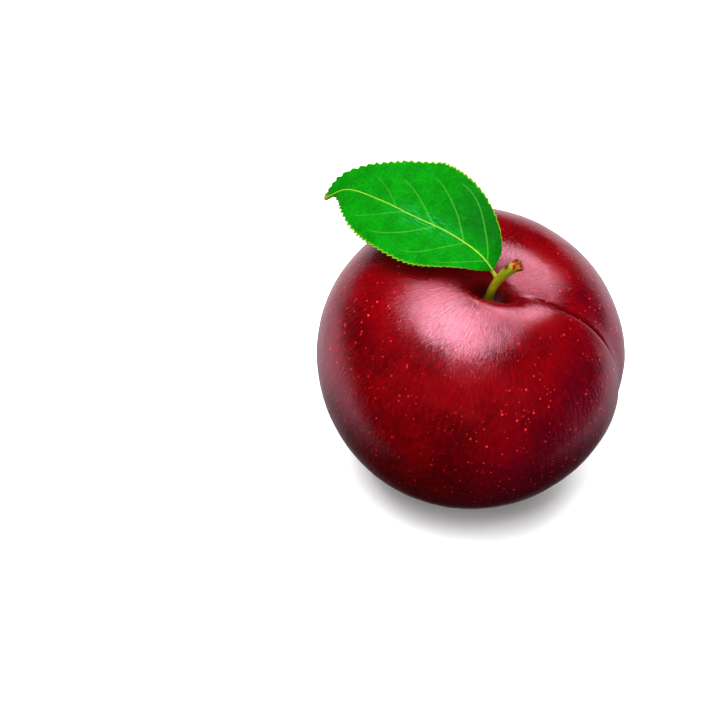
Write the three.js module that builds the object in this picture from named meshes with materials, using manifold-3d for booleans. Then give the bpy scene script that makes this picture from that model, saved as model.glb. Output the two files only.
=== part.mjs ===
// A ripe dark plum with its short stalk and one leaf, as picked, resting on a small flat spot.
//
// Millimetres, +Z up. The origin is the centre of the flat spot that the fruit rests on. The plum
// leans: its own axis, from the blossom end up to the stalk, tilts towards -Y, and the shallow
// seam down one side of it faces +X.

import * as THREE from 'three';
import { mergeVertices } from 'three/addons/utils/BufferGeometryUtils.js';
import Module from 'manifold-3d';

const wasm = await Module();
wasm.setup();

// Fruit: driving sizes
const HALF_WIDTH = 32.5; // across the axis, so the plum is 65 mm wide
const STALK_HALF_HEIGHT = 28.2; // from the widest level up to the shoulder, before the hollow is cut
const BLOSSOM_HALF_HEIGHT = 32.6; // from the widest level down to the blossom end
const LEAN = THREE.MathUtils.degToRad(24.5); // of the axis, from upright
const LEAN_HEADING = THREE.MathUtils.degToRad(-72.5); // the way it leans, from +X
const SEAM_TURN = THREE.MathUtils.degToRad(65); // about the leaning axis, which brings the seam to +X
const HALVES_BLEND = 0.5; // cosine of the polar angle where one half's shape has given way to the other
const FLAT_DEPTH = 0.7; // how much of the roundness the flat spot takes off

// Stalk hollow: a steep bowl round the stalk, with a long slope down to it behind and on the seam
// side. The bowl's reaches are from the axis to where its wall is half way down.
const HOLLOW_DEPTH = 8.6;
const BOWL_FRONT_REACH = 3;
const BOWL_BACK_REACH = 3.8;
const BOWL_LEFT_REACH = 4.2;
const BOWL_SEAM_REACH = 5.2;
const BOWL_STEEPNESS = 6;
const SLOPE_SHARE = 0.5; // of the hollow's depth, on the side where the slope is longest
const SLOPE_REACH = 13;
const SLOPE_TURN = 1.05; // radians about the axis from the seam to that side

// Seam, the crease from the hollow down to the blossom end, at the foot of a swollen front cheek
const VALLEY_DEPTH = 1.6;
const VALLEY_FRONT_WIDTH = 1.3;
const VALLEY_BACK_WIDTH = 6;
const CREASE_DEPTH = 0.5;
const CREASE_WIDTH = 0.8;
const CHEEK_HEIGHT = 0.9;
const CHEEK_WIDTH = 6;
const CHEEK_TURN = -0.3; // radians about the axis, from the seam
const SIDES_BLEND = 0.1; // sine of the angle from the seam within which the front width becomes the back's
const SEAM_BEND = -0.75; // radians about the axis, that the seam has strayed by at the blossom end
const SEAM_BEND_START = 0.7; // polar angle in radians where it begins to stray
const SEAM_DEEPENS = [0.1, 0.5]; // polar angles between which it grows to its full depth
const SEAM_SHALLOWS = [0.9, 2]; // between which it loses part of it again, and the cheek fades out
const SEAM_DEPTH_LOST = 0.6; // the share lost

// Blossom end, a faint dimple with the scar of the flower in it
const DIMPLE_DEPTH = 0.9;
const DIMPLE_HALF_ANGLE = 0.16;

// Stalk
const STALK_RADIUS = 0.87;
const STALK_END_RADIUS = 1.35; // the flared, torn end
const STALK_SINK = 2.4; // how far it stands in its hole
const STALK_THICKENING = 0.24; // of the radius, along the upper half
const STALK_THICKENS = [0.5, 0.86]; // shares of the route between which it does
const STALK_FLARE_START = 0.88; // share of the route
const STALK_ROUTE = [
  [0, 0, -STALK_SINK],
  [0, 0, 0],
  [-0.05, -0.2, 4],
  [0.25, -0.3, 7.5],
  [0.95, -0.2, 10.4],
  [2.2, 0.2, 13],
  [4.1, 0.9, 15],
];
const BUD_SCAR = { along: 0.84, swell: 0.22, length: 0.05 };
const CLEARANCE = 0.3; // between neighbouring pieces

// Leaf
const LEAF_ROUTE = [
  [-0.4, 0.35, 10.6],
  [-2.8, 1.8, 12.4],
  [-5.3, 3.4, 12.9],
  [-11.3, 7.3, 11.6],
  [-17.6, 11, 9.1],
  [-25.6, 15.8, 6],
  [-32.4, 19.3, 2.3],
  [-36.5, 19.4, -2.3],
];
const LEAF_THICKNESS = 0.7;
const BLADE_START = 0.02; // share of the route that is bare leaf stalk
// Each half's greatest width in mm, the shares of the route where it is widest and where it ends,
// and the powers by which it swells from its base and narrows to its tip
const BACK_BLADE = { width: 13.9, widest: 0.53, end: 1.02, base: 0.58, tip: 1.1 };
const FRONT_BLADE = { width: 10.3, widest: 0.44, end: 0.95, base: 0.7, tip: 2.5 };
const BLADE_BANK = 0.25; // radians about the midrib, the front half lower
const BLADE_FOLD = 0.13; // rise of each half from the midrib, per mm across
const BLADE_ROLL = 0.008; // fall of the margin, per mm squared
const BLADE_WAVE = { height: 0.5, count: 2.5, lag: 2 }; // lag in radians, back half after front
const WAVE_FULL_WIDTH = 6; // half width of the blade from which the wave has its full height
const LEAST_HALF_WIDTH = 0.35; // at the tip and at the base
const TEETH = 38; // along each margin
const TOOTH_DEPTH = 0.45;
const TOOTH_FULL_WIDTH = 3; // half width of the blade from which the teeth have their full depth
const MARGIN_POWER = 6; // how closely the teeth keep to the margin
const TOOTH_LEAN = 0.3; // how far each tooth points on towards the tip
const MIDRIB_RADIUS = 0.62;
const MIDRIB_TIP_RADIUS = 0.46;
const MIDRIB_TAPER_END = 0.62; // share of the route where it is down to its tip radius
const MIDRIB_DROP = 0.06; // the midrib stands proud below the blade more than above it

const { lerp, smoothstep } = THREE.MathUtils;

// One bump or dip of height 1, width away from its middle in either direction
function bell(distance, width) {
  return Math.exp(-((distance / width) ** 2));
}

// How far the seam has strayed about the axis
function seamStray(polar) {
  return SEAM_BEND * smoothstep(polar, SEAM_BEND_START, Math.PI);
}

// Distance from the fruit's middle to its skin. polar is the angle from the stalk end of the axis,
// around is the angle about the axis, from the seam.
function fruitRadius(polar, around) {
  const sine = Math.sin(polar);
  const cosine = Math.cos(polar);
  const upper = smoothstep(cosine, -HALVES_BLEND, HALVES_BLEND);
  const halfHeight = lerp(BLOSSOM_HALF_HEIGHT, STALK_HALF_HEIGHT, upper);
  const body = 1 / Math.hypot(sine / HALF_WIDTH, cosine / halfHeight);

  const fromAxis = polar * STALK_HALF_HEIGHT;
  const straight = lerp(BOWL_FRONT_REACH, BOWL_BACK_REACH, 0.5 + 0.5 * Math.sin(around));
  const sideways = lerp(BOWL_LEFT_REACH, BOWL_SEAM_REACH, 0.5 + 0.5 * Math.cos(around));
  const reach = 1 / Math.hypot(Math.cos(around) / sideways, Math.sin(around) / straight);
  const bowl = 1 / (1 + (fromAxis / reach) ** BOWL_STEEPNESS);
  const slopeShare = SLOPE_SHARE * (0.5 + 0.5 * Math.cos(around - SLOPE_TURN)) ** 2;
  const hollow = HOLLOW_DEPTH * lerp(bowl, bell(fromAxis, SLOPE_REACH), slopeShare);

  const turn = around - seamStray(polar);
  const fromSeam = 2 * Math.sin(turn / 2) * sine * body;
  const fromCheek = 2 * Math.sin((turn - CHEEK_TURN) / 2) * sine * body;
  const behind = smoothstep(Math.sin(turn), -SIDES_BLEND, SIDES_BLEND);
  const valleyWidth = lerp(VALLEY_FRONT_WIDTH, VALLEY_BACK_WIDTH, behind);
  const deepening = smoothstep(polar, ...SEAM_DEEPENS);
  const shallowing = smoothstep(polar, ...SEAM_SHALLOWS);
  const seam = deepening * (1 - SEAM_DEPTH_LOST * shallowing)
    * (VALLEY_DEPTH * bell(fromSeam, valleyWidth) + CREASE_DEPTH * bell(fromSeam, CREASE_WIDTH));
  const cheek = deepening * (1 - shallowing) * CHEEK_HEIGHT * bell(fromCheek, CHEEK_WIDTH);

  const dimple = DIMPLE_DEPTH * bell(Math.PI - polar, DIMPLE_HALF_ANGLE);
  return body - hollow - seam + cheek - dimple;
}

// Frames: the leaning fruit, and the floor of its hollow, where stalk and leaf are laid out
const leaning = new THREE.Matrix4()
  .makeRotationZ(LEAN_HEADING)
  .multiply(new THREE.Matrix4().makeRotationY(LEAN))
  .multiply(new THREE.Matrix4().makeRotationZ(SEAM_TURN));
const hollowFloor = new THREE.Vector3(0, 0, fruitRadius(0, 0));

// A three.js geometry with only its positions, each held once
function welded(geometry) {
  geometry.deleteAttribute('normal');
  geometry.deleteAttribute('uv');
  return mergeVertices(geometry, 1e-5);
}

// A closed, welded geometry as a solid
function solid(geometry) {
  return new wasm.Manifold(new wasm.Mesh({
    numProp: 3,
    vertProperties: new Float32Array(geometry.attributes.position.array),
    triVerts: new Uint32Array(geometry.index.array),
  }));
}

// A solid back as a three.js geometry
function geometryOf(body) {
  const mesh = body.getMesh();
  const geometry = new THREE.BufferGeometry();
  geometry.setAttribute('position', new THREE.BufferAttribute(mesh.vertProperties, 3));
  geometry.setIndex(new THREE.BufferAttribute(mesh.triVerts, 1));
  geometry.computeVertexNormals();
  return geometry;
}

// Moves every vertex of a geometry to where place says
function reshape(geometry, place) {
  const position = geometry.attributes.position;
  const point = new THREE.Vector3();
  for (let i = 0; i < position.count; i += 1) {
    point.fromBufferAttribute(position, i);
    position.setXYZ(i, ...place(point).toArray());
  }
  return geometry;
}

// Fruit: a sphere's grid, drawn closer together at the seam and the hollow, then given its radius
const AROUND_STEPS = 76;
const POLAR_STEPS = 52;
const SEAM_CROWDING = 0.66;
const HOLLOW_CROWDING = 0.55;
const HOLE_SIDES = 16;
const FLAT_CUTTER = 40; // side of the cube whose top face cuts the flat spot

function fruitPoint(unit) {
  const share = Math.acos(THREE.MathUtils.clamp(unit.y, -1, 1)) / Math.PI;
  const turn = Math.atan2(unit.z, unit.x);
  const polar = Math.PI * (share - HOLLOW_CROWDING * share * (1 - share) ** 2);
  const around = turn - SEAM_CROWDING * Math.sin(turn) + seamStray(polar);
  const radius = fruitRadius(polar, around);
  return new THREE.Vector3(
    radius * Math.sin(polar) * Math.cos(around),
    radius * Math.sin(polar) * Math.sin(around),
    radius * Math.cos(polar),
  );
}

function bareFruit() {
  const sphere = welded(new THREE.SphereGeometry(1, AROUND_STEPS, POLAR_STEPS));
  reshape(sphere, fruitPoint);
  // the sphere's own axis is Y, so the mapping to Z turns it inside out, and this turns it back
  const flipped = sphere.index.array;
  for (let i = 0; i < flipped.length; i += 3) {
    [flipped[i], flipped[i + 1]] = [flipped[i + 1], flipped[i]];
  }
  return sphere.applyMatrix4(leaning);
}

// The leaning fruit's lowest point, which settles how high its middle stands
function lowestPoint(geometry) {
  const position = geometry.attributes.position;
  const lowest = new THREE.Vector3(0, 0, Infinity);
  const point = new THREE.Vector3();
  for (let i = 0; i < position.count; i += 1) {
    point.fromBufferAttribute(position, i);
    if (point.z < lowest.z) lowest.copy(point);
  }
  return lowest;
}

const bare = bareFruit();
const lowest = lowestPoint(bare);
const middle = new THREE.Vector3(-lowest.x, -lowest.y, -lowest.z - FLAT_DEPTH);

// The frame of stalk and leaf: its origin on the floor of the hollow, +Z up the fruit's axis
const crown = new THREE.Group();
crown.quaternion.setFromRotationMatrix(leaning);
crown.position.copy(hollowFloor).applyMatrix4(leaning).add(middle);
crown.updateMatrixWorld();

function fruit() {
  bare.translate(...middle.toArray());
  const below = welded(new THREE.BoxGeometry(FLAT_CUTTER, FLAT_CUTTER, FLAT_CUTTER));
  below.translate(0, 0, -FLAT_CUTTER / 2);
  const hole = welded(new THREE.CylinderGeometry(
    STALK_RADIUS + CLEARANCE,
    STALK_RADIUS + CLEARANCE,
    2 * (STALK_SINK + CLEARANCE),
    HOLE_SIDES,
  ));
  hole.rotateX(Math.PI / 2).applyMatrix4(crown.matrixWorld);
  return geometryOf(solid(bare).subtract(solid(below)).subtract(solid(hole)));
}

// A closed round tube along a curve, its radius set by the share of the way along. side is any
// direction that the curve never runs in.
function taperedTube(curve, side, radiusAt, sides, steps) {
  const tube = welded(new THREE.CylinderGeometry(1, 1, 1, sides, steps));
  return reshape(tube, (point) => {
    const share = THREE.MathUtils.clamp(point.y + 0.5, 0, 1);
    const tangent = curve.getTangentAt(share);
    const across = side.clone().addScaledVector(tangent, -side.dot(tangent)).normalize();
    const third = new THREE.Vector3().crossVectors(across, tangent);
    const radius = radiusAt(share);
    return curve.getPointAt(share)
      .addScaledVector(across, point.x * radius)
      .addScaledVector(third, point.z * radius);
  });
}

function curveThrough(route) {
  return new THREE.CatmullRomCurve3(route.map((point) => new THREE.Vector3(...point)));
}

// Stalk: slender, thicker towards the torn end, with the swelling of one old bud scar
const STALK_SIDES = 12;
const STALK_STEPS = 28;

function stalkRadius(share) {
  const thickening = STALK_THICKENING * smoothstep(share, ...STALK_THICKENS);
  const flareHeight = STALK_END_RADIUS - STALK_RADIUS - STALK_THICKENING;
  const flare = flareHeight * smoothstep(share, STALK_FLARE_START, 1);
  const scar = BUD_SCAR.swell * bell(share - BUD_SCAR.along, BUD_SCAR.length);
  return STALK_RADIUS + thickening + flare + scar;
}

function stalk() {
  const side = new THREE.Vector3(0, 1, 0);
  return taperedTube(curveThrough(STALK_ROUTE), side, stalkRadius, STALK_SIDES, STALK_STEPS);
}

// Leaf: a blade on either side of one drooping midrib
const midrib = curveThrough(LEAF_ROUTE);

// The width of one half of the blade at a share of the way along
function halfWidth(share, blade) {
  if (share < blade.widest) {
    const rising = (share - BLADE_START) / (blade.widest - BLADE_START);
    return blade.width * Math.sin(rising * Math.PI / 2) ** blade.base;
  }
  const falling = Math.min(1, (share - blade.widest) / (blade.end - blade.widest));
  return blade.width * (1 - falling ** blade.tip);
}

// The leaf's own directions at a share of the way along: on along it, up from it, across it
function leafFrame(share) {
  const along = midrib.getTangentAt(share);
  const upright = new THREE.Vector3(0, 0, 1).addScaledVector(along, -along.z).normalize();
  const level = new THREE.Vector3().crossVectors(upright, along);
  const up = upright.clone().applyAxisAngle(along, -BLADE_BANK);
  const across = level.applyAxisAngle(along, -BLADE_BANK);
  return { along, up, across };
}

const BLADE_STEPS = 2 * TEETH;
const BLADE_COLUMNS = 12;
const MIDRIB_SIDES = 8;
const MIDRIB_STEPS = 44;

function bladePoint(unit) {
  const step = Math.round((unit.x + 0.5) * BLADE_STEPS);
  const share = lerp(BLADE_START, 1, step / BLADE_STEPS);
  const side = 2 * unit.y;
  const backwards = side < 0 ? 1 : 0;
  const blade = backwards ? BACK_BLADE : FRONT_BLADE;
  const tooth = step % 2;
  const { along, up, across } = leafFrame(share);
  const plain = Math.max(halfWidth(share, blade), LEAST_HALF_WIDTH);
  const edge = Math.abs(side) ** MARGIN_POWER;
  const toothOut = TOOTH_DEPTH * Math.min(1, plain / TOOTH_FULL_WIDTH) * (tooth - 0.5) * edge;
  const out = side * plain + Math.sign(side) * toothOut;
  const swing = 2 * Math.PI * BLADE_WAVE.count * share + backwards * BLADE_WAVE.lag;
  const wave = BLADE_WAVE.height * Math.min(1, plain / WAVE_FULL_WIDTH) * Math.sin(swing);
  const rise = BLADE_FOLD * Math.abs(out) - BLADE_ROLL * out ** 2 + wave * (out / plain) ** 2;
  return midrib.getPointAt(share)
    .addScaledVector(across, out)
    .addScaledVector(along, tooth * TOOTH_LEAN * edge)
    .addScaledVector(up, rise + unit.z * LEAF_THICKNESS);
}

function midribRadius(share) {
  return lerp(MIDRIB_RADIUS, MIDRIB_TIP_RADIUS, Math.min(1, share / MIDRIB_TAPER_END));
}

function leaf() {
  const blade = welded(new THREE.BoxGeometry(1, 1, 1, BLADE_STEPS, BLADE_COLUMNS, 1));
  reshape(blade, bladePoint);
  const side = new THREE.Vector3(0, 0, 1);
  const rib = taperedTube(midrib, side, midribRadius, MIDRIB_SIDES, MIDRIB_STEPS);
  rib.translate(0, 0, -MIDRIB_DROP);
  return geometryOf(solid(blade).add(solid(rib)));
}

// The finished plum
function piece(name, geometry, colour, roughness) {
  const material = new THREE.MeshStandardMaterial({ color: colour, roughness, metalness: 0 });
  const mesh = new THREE.Mesh(geometry, material);
  mesh.name = name;
  return mesh;
}

const plum = new THREE.Group();
plum.add(piece('fruit', fruit(), 0x6b0012, 0.28));
plum.add(crown);
crown.add(piece('stalk', stalk(), 0x8c9614, 0.6));
crown.add(piece('leaf', leaf(), 0x0a9a10, 0.45));

export default plum;
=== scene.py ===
"""A ripe dark plum with its stalk and leaf: the looks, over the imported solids.

Sizes are in millimetres and in the solids' own terms, and turn into metres where a mesh, a camera
or a light is made. The forms repeat the solids' formulas on finer grids, with the relief that the
solids leave out: unevenness of the skin, veins, thin margins, fibres and the torn end of the stalk.
"""
import math

import bpy
import numpy as np
from mathutils import Matrix, Vector, noise


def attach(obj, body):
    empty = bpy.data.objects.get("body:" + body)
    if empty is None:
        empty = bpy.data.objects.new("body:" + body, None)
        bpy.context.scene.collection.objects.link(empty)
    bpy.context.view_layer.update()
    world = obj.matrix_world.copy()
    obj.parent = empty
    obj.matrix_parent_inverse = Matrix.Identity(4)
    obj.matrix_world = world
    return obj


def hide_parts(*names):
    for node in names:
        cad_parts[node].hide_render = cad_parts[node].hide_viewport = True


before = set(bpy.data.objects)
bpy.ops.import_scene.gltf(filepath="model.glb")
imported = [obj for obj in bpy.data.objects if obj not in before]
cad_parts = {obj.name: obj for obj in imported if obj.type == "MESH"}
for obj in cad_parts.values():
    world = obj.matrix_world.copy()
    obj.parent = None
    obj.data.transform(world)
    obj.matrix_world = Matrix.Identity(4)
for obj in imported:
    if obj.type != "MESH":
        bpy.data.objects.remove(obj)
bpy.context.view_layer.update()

MM = 0.001

# Camera: the photograph's, with the fruit's middle where the photograph has it
ELEVATION = math.radians(35)
CAMERA_DISTANCE = 500.0
PX_PER_MM = 4.76
FRAME_PX = 720
FRUIT_CENTRE_PX = (471.0, 354.4)
FRUIT_CENTRE = Vector((-0.381, 0.644, 31.872))

RIGHT = Vector((1, 0, 0))
UP = Vector((0, math.sin(ELEVATION), math.cos(ELEVATION)))
BACK = Vector((0, -math.cos(ELEVATION), math.sin(ELEVATION)))


def make_camera():
    half = FRAME_PX / 2
    target = (FRUIT_CENTRE - RIGHT * ((FRUIT_CENTRE_PX[0] - half) / PX_PER_MM)
              + UP * ((FRUIT_CENTRE_PX[1] - half) / PX_PER_MM))
    data = bpy.data.cameras.new("camera")
    data.lens_unit = "FOV"
    data.angle = 2 * math.atan(half / (PX_PER_MM * CAMERA_DISTANCE))
    data.clip_start = 0.01
    camera = bpy.data.objects.new("camera", data)
    bpy.context.scene.collection.objects.link(camera)
    camera.location = (target + BACK * CAMERA_DISTANCE) * MM
    camera.rotation_euler = BACK.to_track_quat("Z", "Y").to_euler()
    bpy.context.scene.camera = camera


# Shared helpers
def smoothstep(x, low, high):
    t = np.clip((x - low) / (high - low), 0, 1)
    return t * t * (3 - 2 * t)


def bell(distance, width):
    return np.exp(-((distance / width) ** 2))


def lerp(a, b, t):
    return a + (b - a) * t


def unit(v):
    return v / np.linalg.norm(v, axis=-1, keepdims=True)


def noise_at(points, fineness, seed):
    """Smooth noise from -1 to 1 at each point, its features about 1 / fineness long"""
    shift = Vector((seed * 17.3, seed * -9.1, seed * 5.7))
    values = [noise.noise(Vector(p) * fineness + shift) for p in points.reshape(-1, 3).tolist()]
    return np.reshape(values, points.shape[:-1])


def make_piece(name, form, material, node):
    """A smooth mesh from a form's points, faces and attributes, riding on the body for its CAD node"""
    points, faces, attributes = form
    mesh = bpy.data.meshes.new(name)
    mesh.from_pydata((points * MM).tolist(), [], faces)
    for key, values in attributes.items():
        vector = values.ndim == 2
        layer = mesh.attributes.new(key, "FLOAT_VECTOR" if vector else "FLOAT", "POINT")
        layer.data.foreach_set("vector" if vector else "value", values.astype(np.float32).ravel())
    mesh.polygons.foreach_set("use_smooth", [True] * len(mesh.polygons))
    mesh.update()
    piece = bpy.data.objects.new(name, mesh)
    bpy.context.scene.collection.objects.link(piece)
    mesh.materials.append(material)
    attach(piece, "root")
    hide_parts(node)


def ring_faces(rings, around, first=0):
    """Quads between rings of points that each close on themselves"""
    faces = []
    for ring in range(rings - 1):
        a = first + ring * around
        for j in range(around):
            k = (j + 1) % around
            faces.append((a + j, a + k, a + around + k, a + around + j))
    return faces


def fan_faces(first, around, centre):
    """Triangles from a ring of points to the point in its middle"""
    return [(first + j, first + (j + 1) % around, centre) for j in range(around)]


def turned(faces):
    return [face[::-1] for face in faces]


class Route:
    """A centripetal Catmull-Rom curve through points, read by the share of its length"""

    SAMPLES = 400

    def __init__(self, points):
        p = np.array(points, float)
        p = np.vstack([2 * p[0] - p[1], p, 2 * p[-1] - p[-2]])
        t = np.linspace(0, 1, self.SAMPLES, endpoint=False)[:, None]
        pieces = []
        for p0, p1, p2, p3 in zip(p, p[1:], p[2:], p[3:]):
            d0, d1, d2 = (math.sqrt(np.linalg.norm(b - a)) for a, b in ((p0, p1), (p1, p2), (p2, p3)))
            m1 = ((p1 - p0) / d0 - (p2 - p0) / (d0 + d1) + (p2 - p1) / d1) * d1
            m2 = ((p2 - p1) / d1 - (p3 - p1) / (d1 + d2) + (p3 - p2) / d2) * d1
            c2 = -3 * p1 + 3 * p2 - 2 * m1 - m2
            c3 = 2 * p1 - 2 * p2 + m1 + m2
            pieces.append(p1 + m1 * t + c2 * t ** 2 + c3 * t ** 3)
        self.points = np.vstack(pieces + [p[-2:-1]])
        steps = np.linalg.norm(np.diff(self.points, axis=0), axis=1)
        self.along = np.concatenate([[0], np.cumsum(steps)])
        self.length = self.along[-1]
        self.tangents = unit(np.gradient(self.points, self.along, axis=0))

    def read(self, values, share):
        at = np.clip(share, 0, 1) * self.length
        return np.stack([np.interp(at, self.along, values[:, k]) for k in range(3)], axis=-1)

    def point(self, share):
        return self.read(self.points, share)

    def tangent(self, share):
        return unit(self.read(self.tangents, share))


# Frames of the leaning fruit and of its crown, where stalk and leaf are laid out
LEAN = math.radians(24.5)
LEAN_HEADING = math.radians(-72.5)
SEAM_TURN = math.radians(65)


def turn_z(angle):
    cosine, sine = math.cos(angle), math.sin(angle)
    return np.array([[cosine, -sine, 0], [sine, cosine, 0], [0, 0, 1]])


def turn_y(angle):
    cosine, sine = math.cos(angle), math.sin(angle)
    return np.array([[cosine, 0, sine], [0, 1, 0], [-sine, 0, cosine]])


LEANING = turn_z(LEAN_HEADING) @ turn_y(LEAN) @ turn_z(SEAM_TURN)
MIDDLE = np.array(FRUIT_CENTRE)


# Fruit
HALF_WIDTH = 32.5
STALK_HALF_HEIGHT = 28.2
BLOSSOM_HALF_HEIGHT = 32.6
HOLLOW_DEPTH = 8.6
BOWL_FRONT_REACH = 3.0
BOWL_BACK_REACH = 3.8
BOWL_LEFT_REACH = 4.2
BOWL_SEAM_REACH = 5.2
BOWL_STEEPNESS = 6.0
SLOPE_SHARE = 0.5
SLOPE_REACH = 13.0
SLOPE_TURN = 1.05
VALLEY_DEPTH = 1.6
VALLEY_FRONT_WIDTH = 1.3
VALLEY_BACK_WIDTH = 6.0
CREASE_DEPTH = 0.5
CREASE_WIDTH = 0.55
CHEEK_HEIGHT = 0.9
CHEEK_WIDTH = 6.0
CHEEK_TURN = -0.3
SEAM_BEND = -0.75
SEAM_BEND_START = 0.7
SEAM_DEEPENING = (0.1, 0.5)  # polar angles between which seam and cheek set in
SEAM_FADING = (0.9, 2)  # and between which the cheek ends and the seam loses a share
SEAM_FADING_SHARE = 0.6
DIMPLE_DEPTH = 0.9
DIMPLE_HALF_ANGLE = 0.16

# Relief of the skin
SKIN_SWELLS = [(0.10, 0.09, 1), (0.05, 0.22, 2)]  # height, fineness and seed of each
RIPPLE_HEIGHT = 0.03
RIPPLE_FINENESS = 16
RIPPLE_STRETCH = 0.35
SEAM_CALM = 0.7
PIT_RIM_HEIGHT = 0.16
PIT_RIM_POLAR = 0.11
PIT_RIM_WIDTH = 0.03
BLOSSOM_SCAR_HEIGHT = 0.35
BLOSSOM_SCAR_RADIUS = 1.1
SKIN_SHRINK = 0.06  # keeps the finer skin within the box of the coarser one

# The pit that the stalk stands in, with the depth of each ring in it and its share of the rim's width
PIT_RADIUS = 1.02
PIT_RINGS = [(0.35, 0.97), (1.2, 0.94), (2.5, 0.9)]

AROUND_STEPS = 400
POLAR_STEPS = 230
SEAM_CROWDING = 0.6
HOLLOW_CROWDING = 0.5


def seam_stray(polar):
    return SEAM_BEND * smoothstep(polar, SEAM_BEND_START, math.pi)


def fruit_radius(polar, around):
    """The skin's distance from the fruit's middle, and how far it lies in the bowl and in the crease"""
    sine, cosine = np.sin(polar), np.cos(polar)
    half_height = lerp(BLOSSOM_HALF_HEIGHT, STALK_HALF_HEIGHT, smoothstep(cosine, -0.5, 0.5))
    body = 1 / np.hypot(sine / HALF_WIDTH, cosine / half_height)

    from_axis = polar * STALK_HALF_HEIGHT
    straight = lerp(BOWL_FRONT_REACH, BOWL_BACK_REACH, 0.5 + 0.5 * np.sin(around))
    sideways = lerp(BOWL_LEFT_REACH, BOWL_SEAM_REACH, 0.5 + 0.5 * np.cos(around))
    reach = 1 / np.hypot(np.cos(around) / sideways, np.sin(around) / straight)
    bowl = 1 / (1 + (from_axis / reach) ** BOWL_STEEPNESS)
    slope_share = SLOPE_SHARE * (0.5 + 0.5 * np.cos(around - SLOPE_TURN)) ** 2
    hollow = HOLLOW_DEPTH * lerp(bowl, bell(from_axis, SLOPE_REACH), slope_share)

    turn = around - seam_stray(polar)
    from_seam = 2 * np.sin(turn / 2) * sine * body
    from_cheek = 2 * np.sin((turn - CHEEK_TURN) / 2) * sine * body
    valley_width = lerp(VALLEY_FRONT_WIDTH, VALLEY_BACK_WIDTH, smoothstep(np.sin(turn), -0.1, 0.1))
    deepening, fading = smoothstep(polar, *SEAM_DEEPENING), smoothstep(polar, *SEAM_FADING)
    strength = deepening * (1 - SEAM_FADING_SHARE * fading)
    crease = bell(from_seam, CREASE_WIDTH)
    seam = strength * (VALLEY_DEPTH * bell(from_seam, valley_width) + CREASE_DEPTH * crease)
    cheek = deepening * (1 - fading) * CHEEK_HEIGHT * bell(from_cheek, CHEEK_WIDTH)
    dimple = DIMPLE_DEPTH * bell(math.pi - polar, DIMPLE_HALF_ANGLE)
    return body - hollow - seam + cheek - dimple, bowl, strength * crease


def skin_grid():
    """Polar and around angles of the skin's points, crowded in the hollow and along the seam"""
    first = PIT_RADIUS / (STALK_HALF_HEIGHT - HOLLOW_DEPTH)
    share = np.linspace(0, 1, POLAR_STEPS + 1)[1:-1]
    polar = math.pi * (share - HOLLOW_CROWDING * share * (1 - share) ** 2)
    polar = first + polar * (math.pi - first) / math.pi
    polar = np.concatenate([[first, first * 1.25], polar[polar > first * 1.6]])
    turn = np.linspace(-math.pi, math.pi, AROUND_STEPS, endpoint=False)
    polar, turn = np.meshgrid(polar, turn, indexing="ij")
    return polar, turn - SEAM_CROWDING * np.sin(turn) + seam_stray(polar)


def skin_relief(polar, around, crease, points):
    """How far the skin stands out past its plain form, calm at the seam and round the stalk"""
    calm = (1 - SEAM_CALM * crease) * smoothstep(polar, 0.05, 0.4)
    swells = sum(height * noise_at(points, fineness, seed) for height, fineness, seed in SKIN_SWELLS)
    lengthwise = np.stack([np.cos(around), np.sin(around), RIPPLE_STRETCH * polar], -1)
    ripples = RIPPLE_HEIGHT * noise_at(lengthwise, RIPPLE_FINENESS, 3) * smoothstep(polar, 0.3, 0.8)
    rim = PIT_RIM_HEIGHT * bell(polar - PIT_RIM_POLAR, PIT_RIM_WIDTH)
    scar = BLOSSOM_SCAR_HEIGHT * bell((math.pi - polar) * BLOSSOM_HALF_HEIGHT, BLOSSOM_SCAR_RADIUS)
    return (swells + ripples) * calm - SKIN_SHRINK + rim + scar


def pit_rings(rim):
    """The stalk's pit as rings of points, from under its rim down"""
    rings = []
    for depth, width in PIT_RINGS:
        ring = rim * [width, width, 1.0]
        ring[:, 2] = rim[:, 2].mean() - depth
        rings.append(ring)
    return rings


def fruit_mesh():
    polar, around = skin_grid()
    rings = len(polar) + len(PIT_RINGS)
    polar, around = polar.ravel(), around.ravel()
    radius, bowl, crease = fruit_radius(polar, around)
    outward = np.stack([np.sin(polar) * np.cos(around), np.sin(polar) * np.sin(around), np.cos(polar)], -1)
    plain = outward * radius[:, None]
    skin = plain + outward * skin_relief(polar, around, crease, plain)[:, None]

    pit = pit_rings(skin[:AROUND_STEPS])
    floor = np.array([[0, 0, pit[-1][0, 2]]])
    blossom_radius = fruit_radius(np.array(math.pi), np.array(0.0))[0] - SKIN_SHRINK + BLOSSOM_SCAR_HEIGHT
    points = np.vstack([floor] + pit[::-1] + [skin, [[0, 0, -blossom_radius]]])
    points = points @ LEANING.T + MIDDLE
    points[:, 2] = np.maximum(points[:, 2], 0)

    # rings run from the stalk to the blossom end, so their faces are turned to look outward
    last = len(points) - 1
    faces = turned(ring_faces(rings, AROUND_STEPS, first=1) + fan_faces(1, AROUND_STEPS, 0))
    faces += fan_faces(last - AROUND_STEPS, AROUND_STEPS, last)

    in_pit = 1 + len(PIT_RINGS) * AROUND_STEPS
    grain = np.stack([np.cos(around), np.sin(around), polar], -1)
    return points, faces, {
        "grain": np.vstack([np.repeat([[1.0, 0, 0]], in_pit, axis=0), grain, [[1.0, 0, math.pi]]]),
        "bowl": np.concatenate([np.full(in_pit, 1.0), bowl, [0.0]]),
        "crease": np.concatenate([np.zeros(in_pit), crease, [0.0]]),
        "polar": np.concatenate([np.zeros(in_pit), polar, [math.pi]]),
    }


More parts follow.
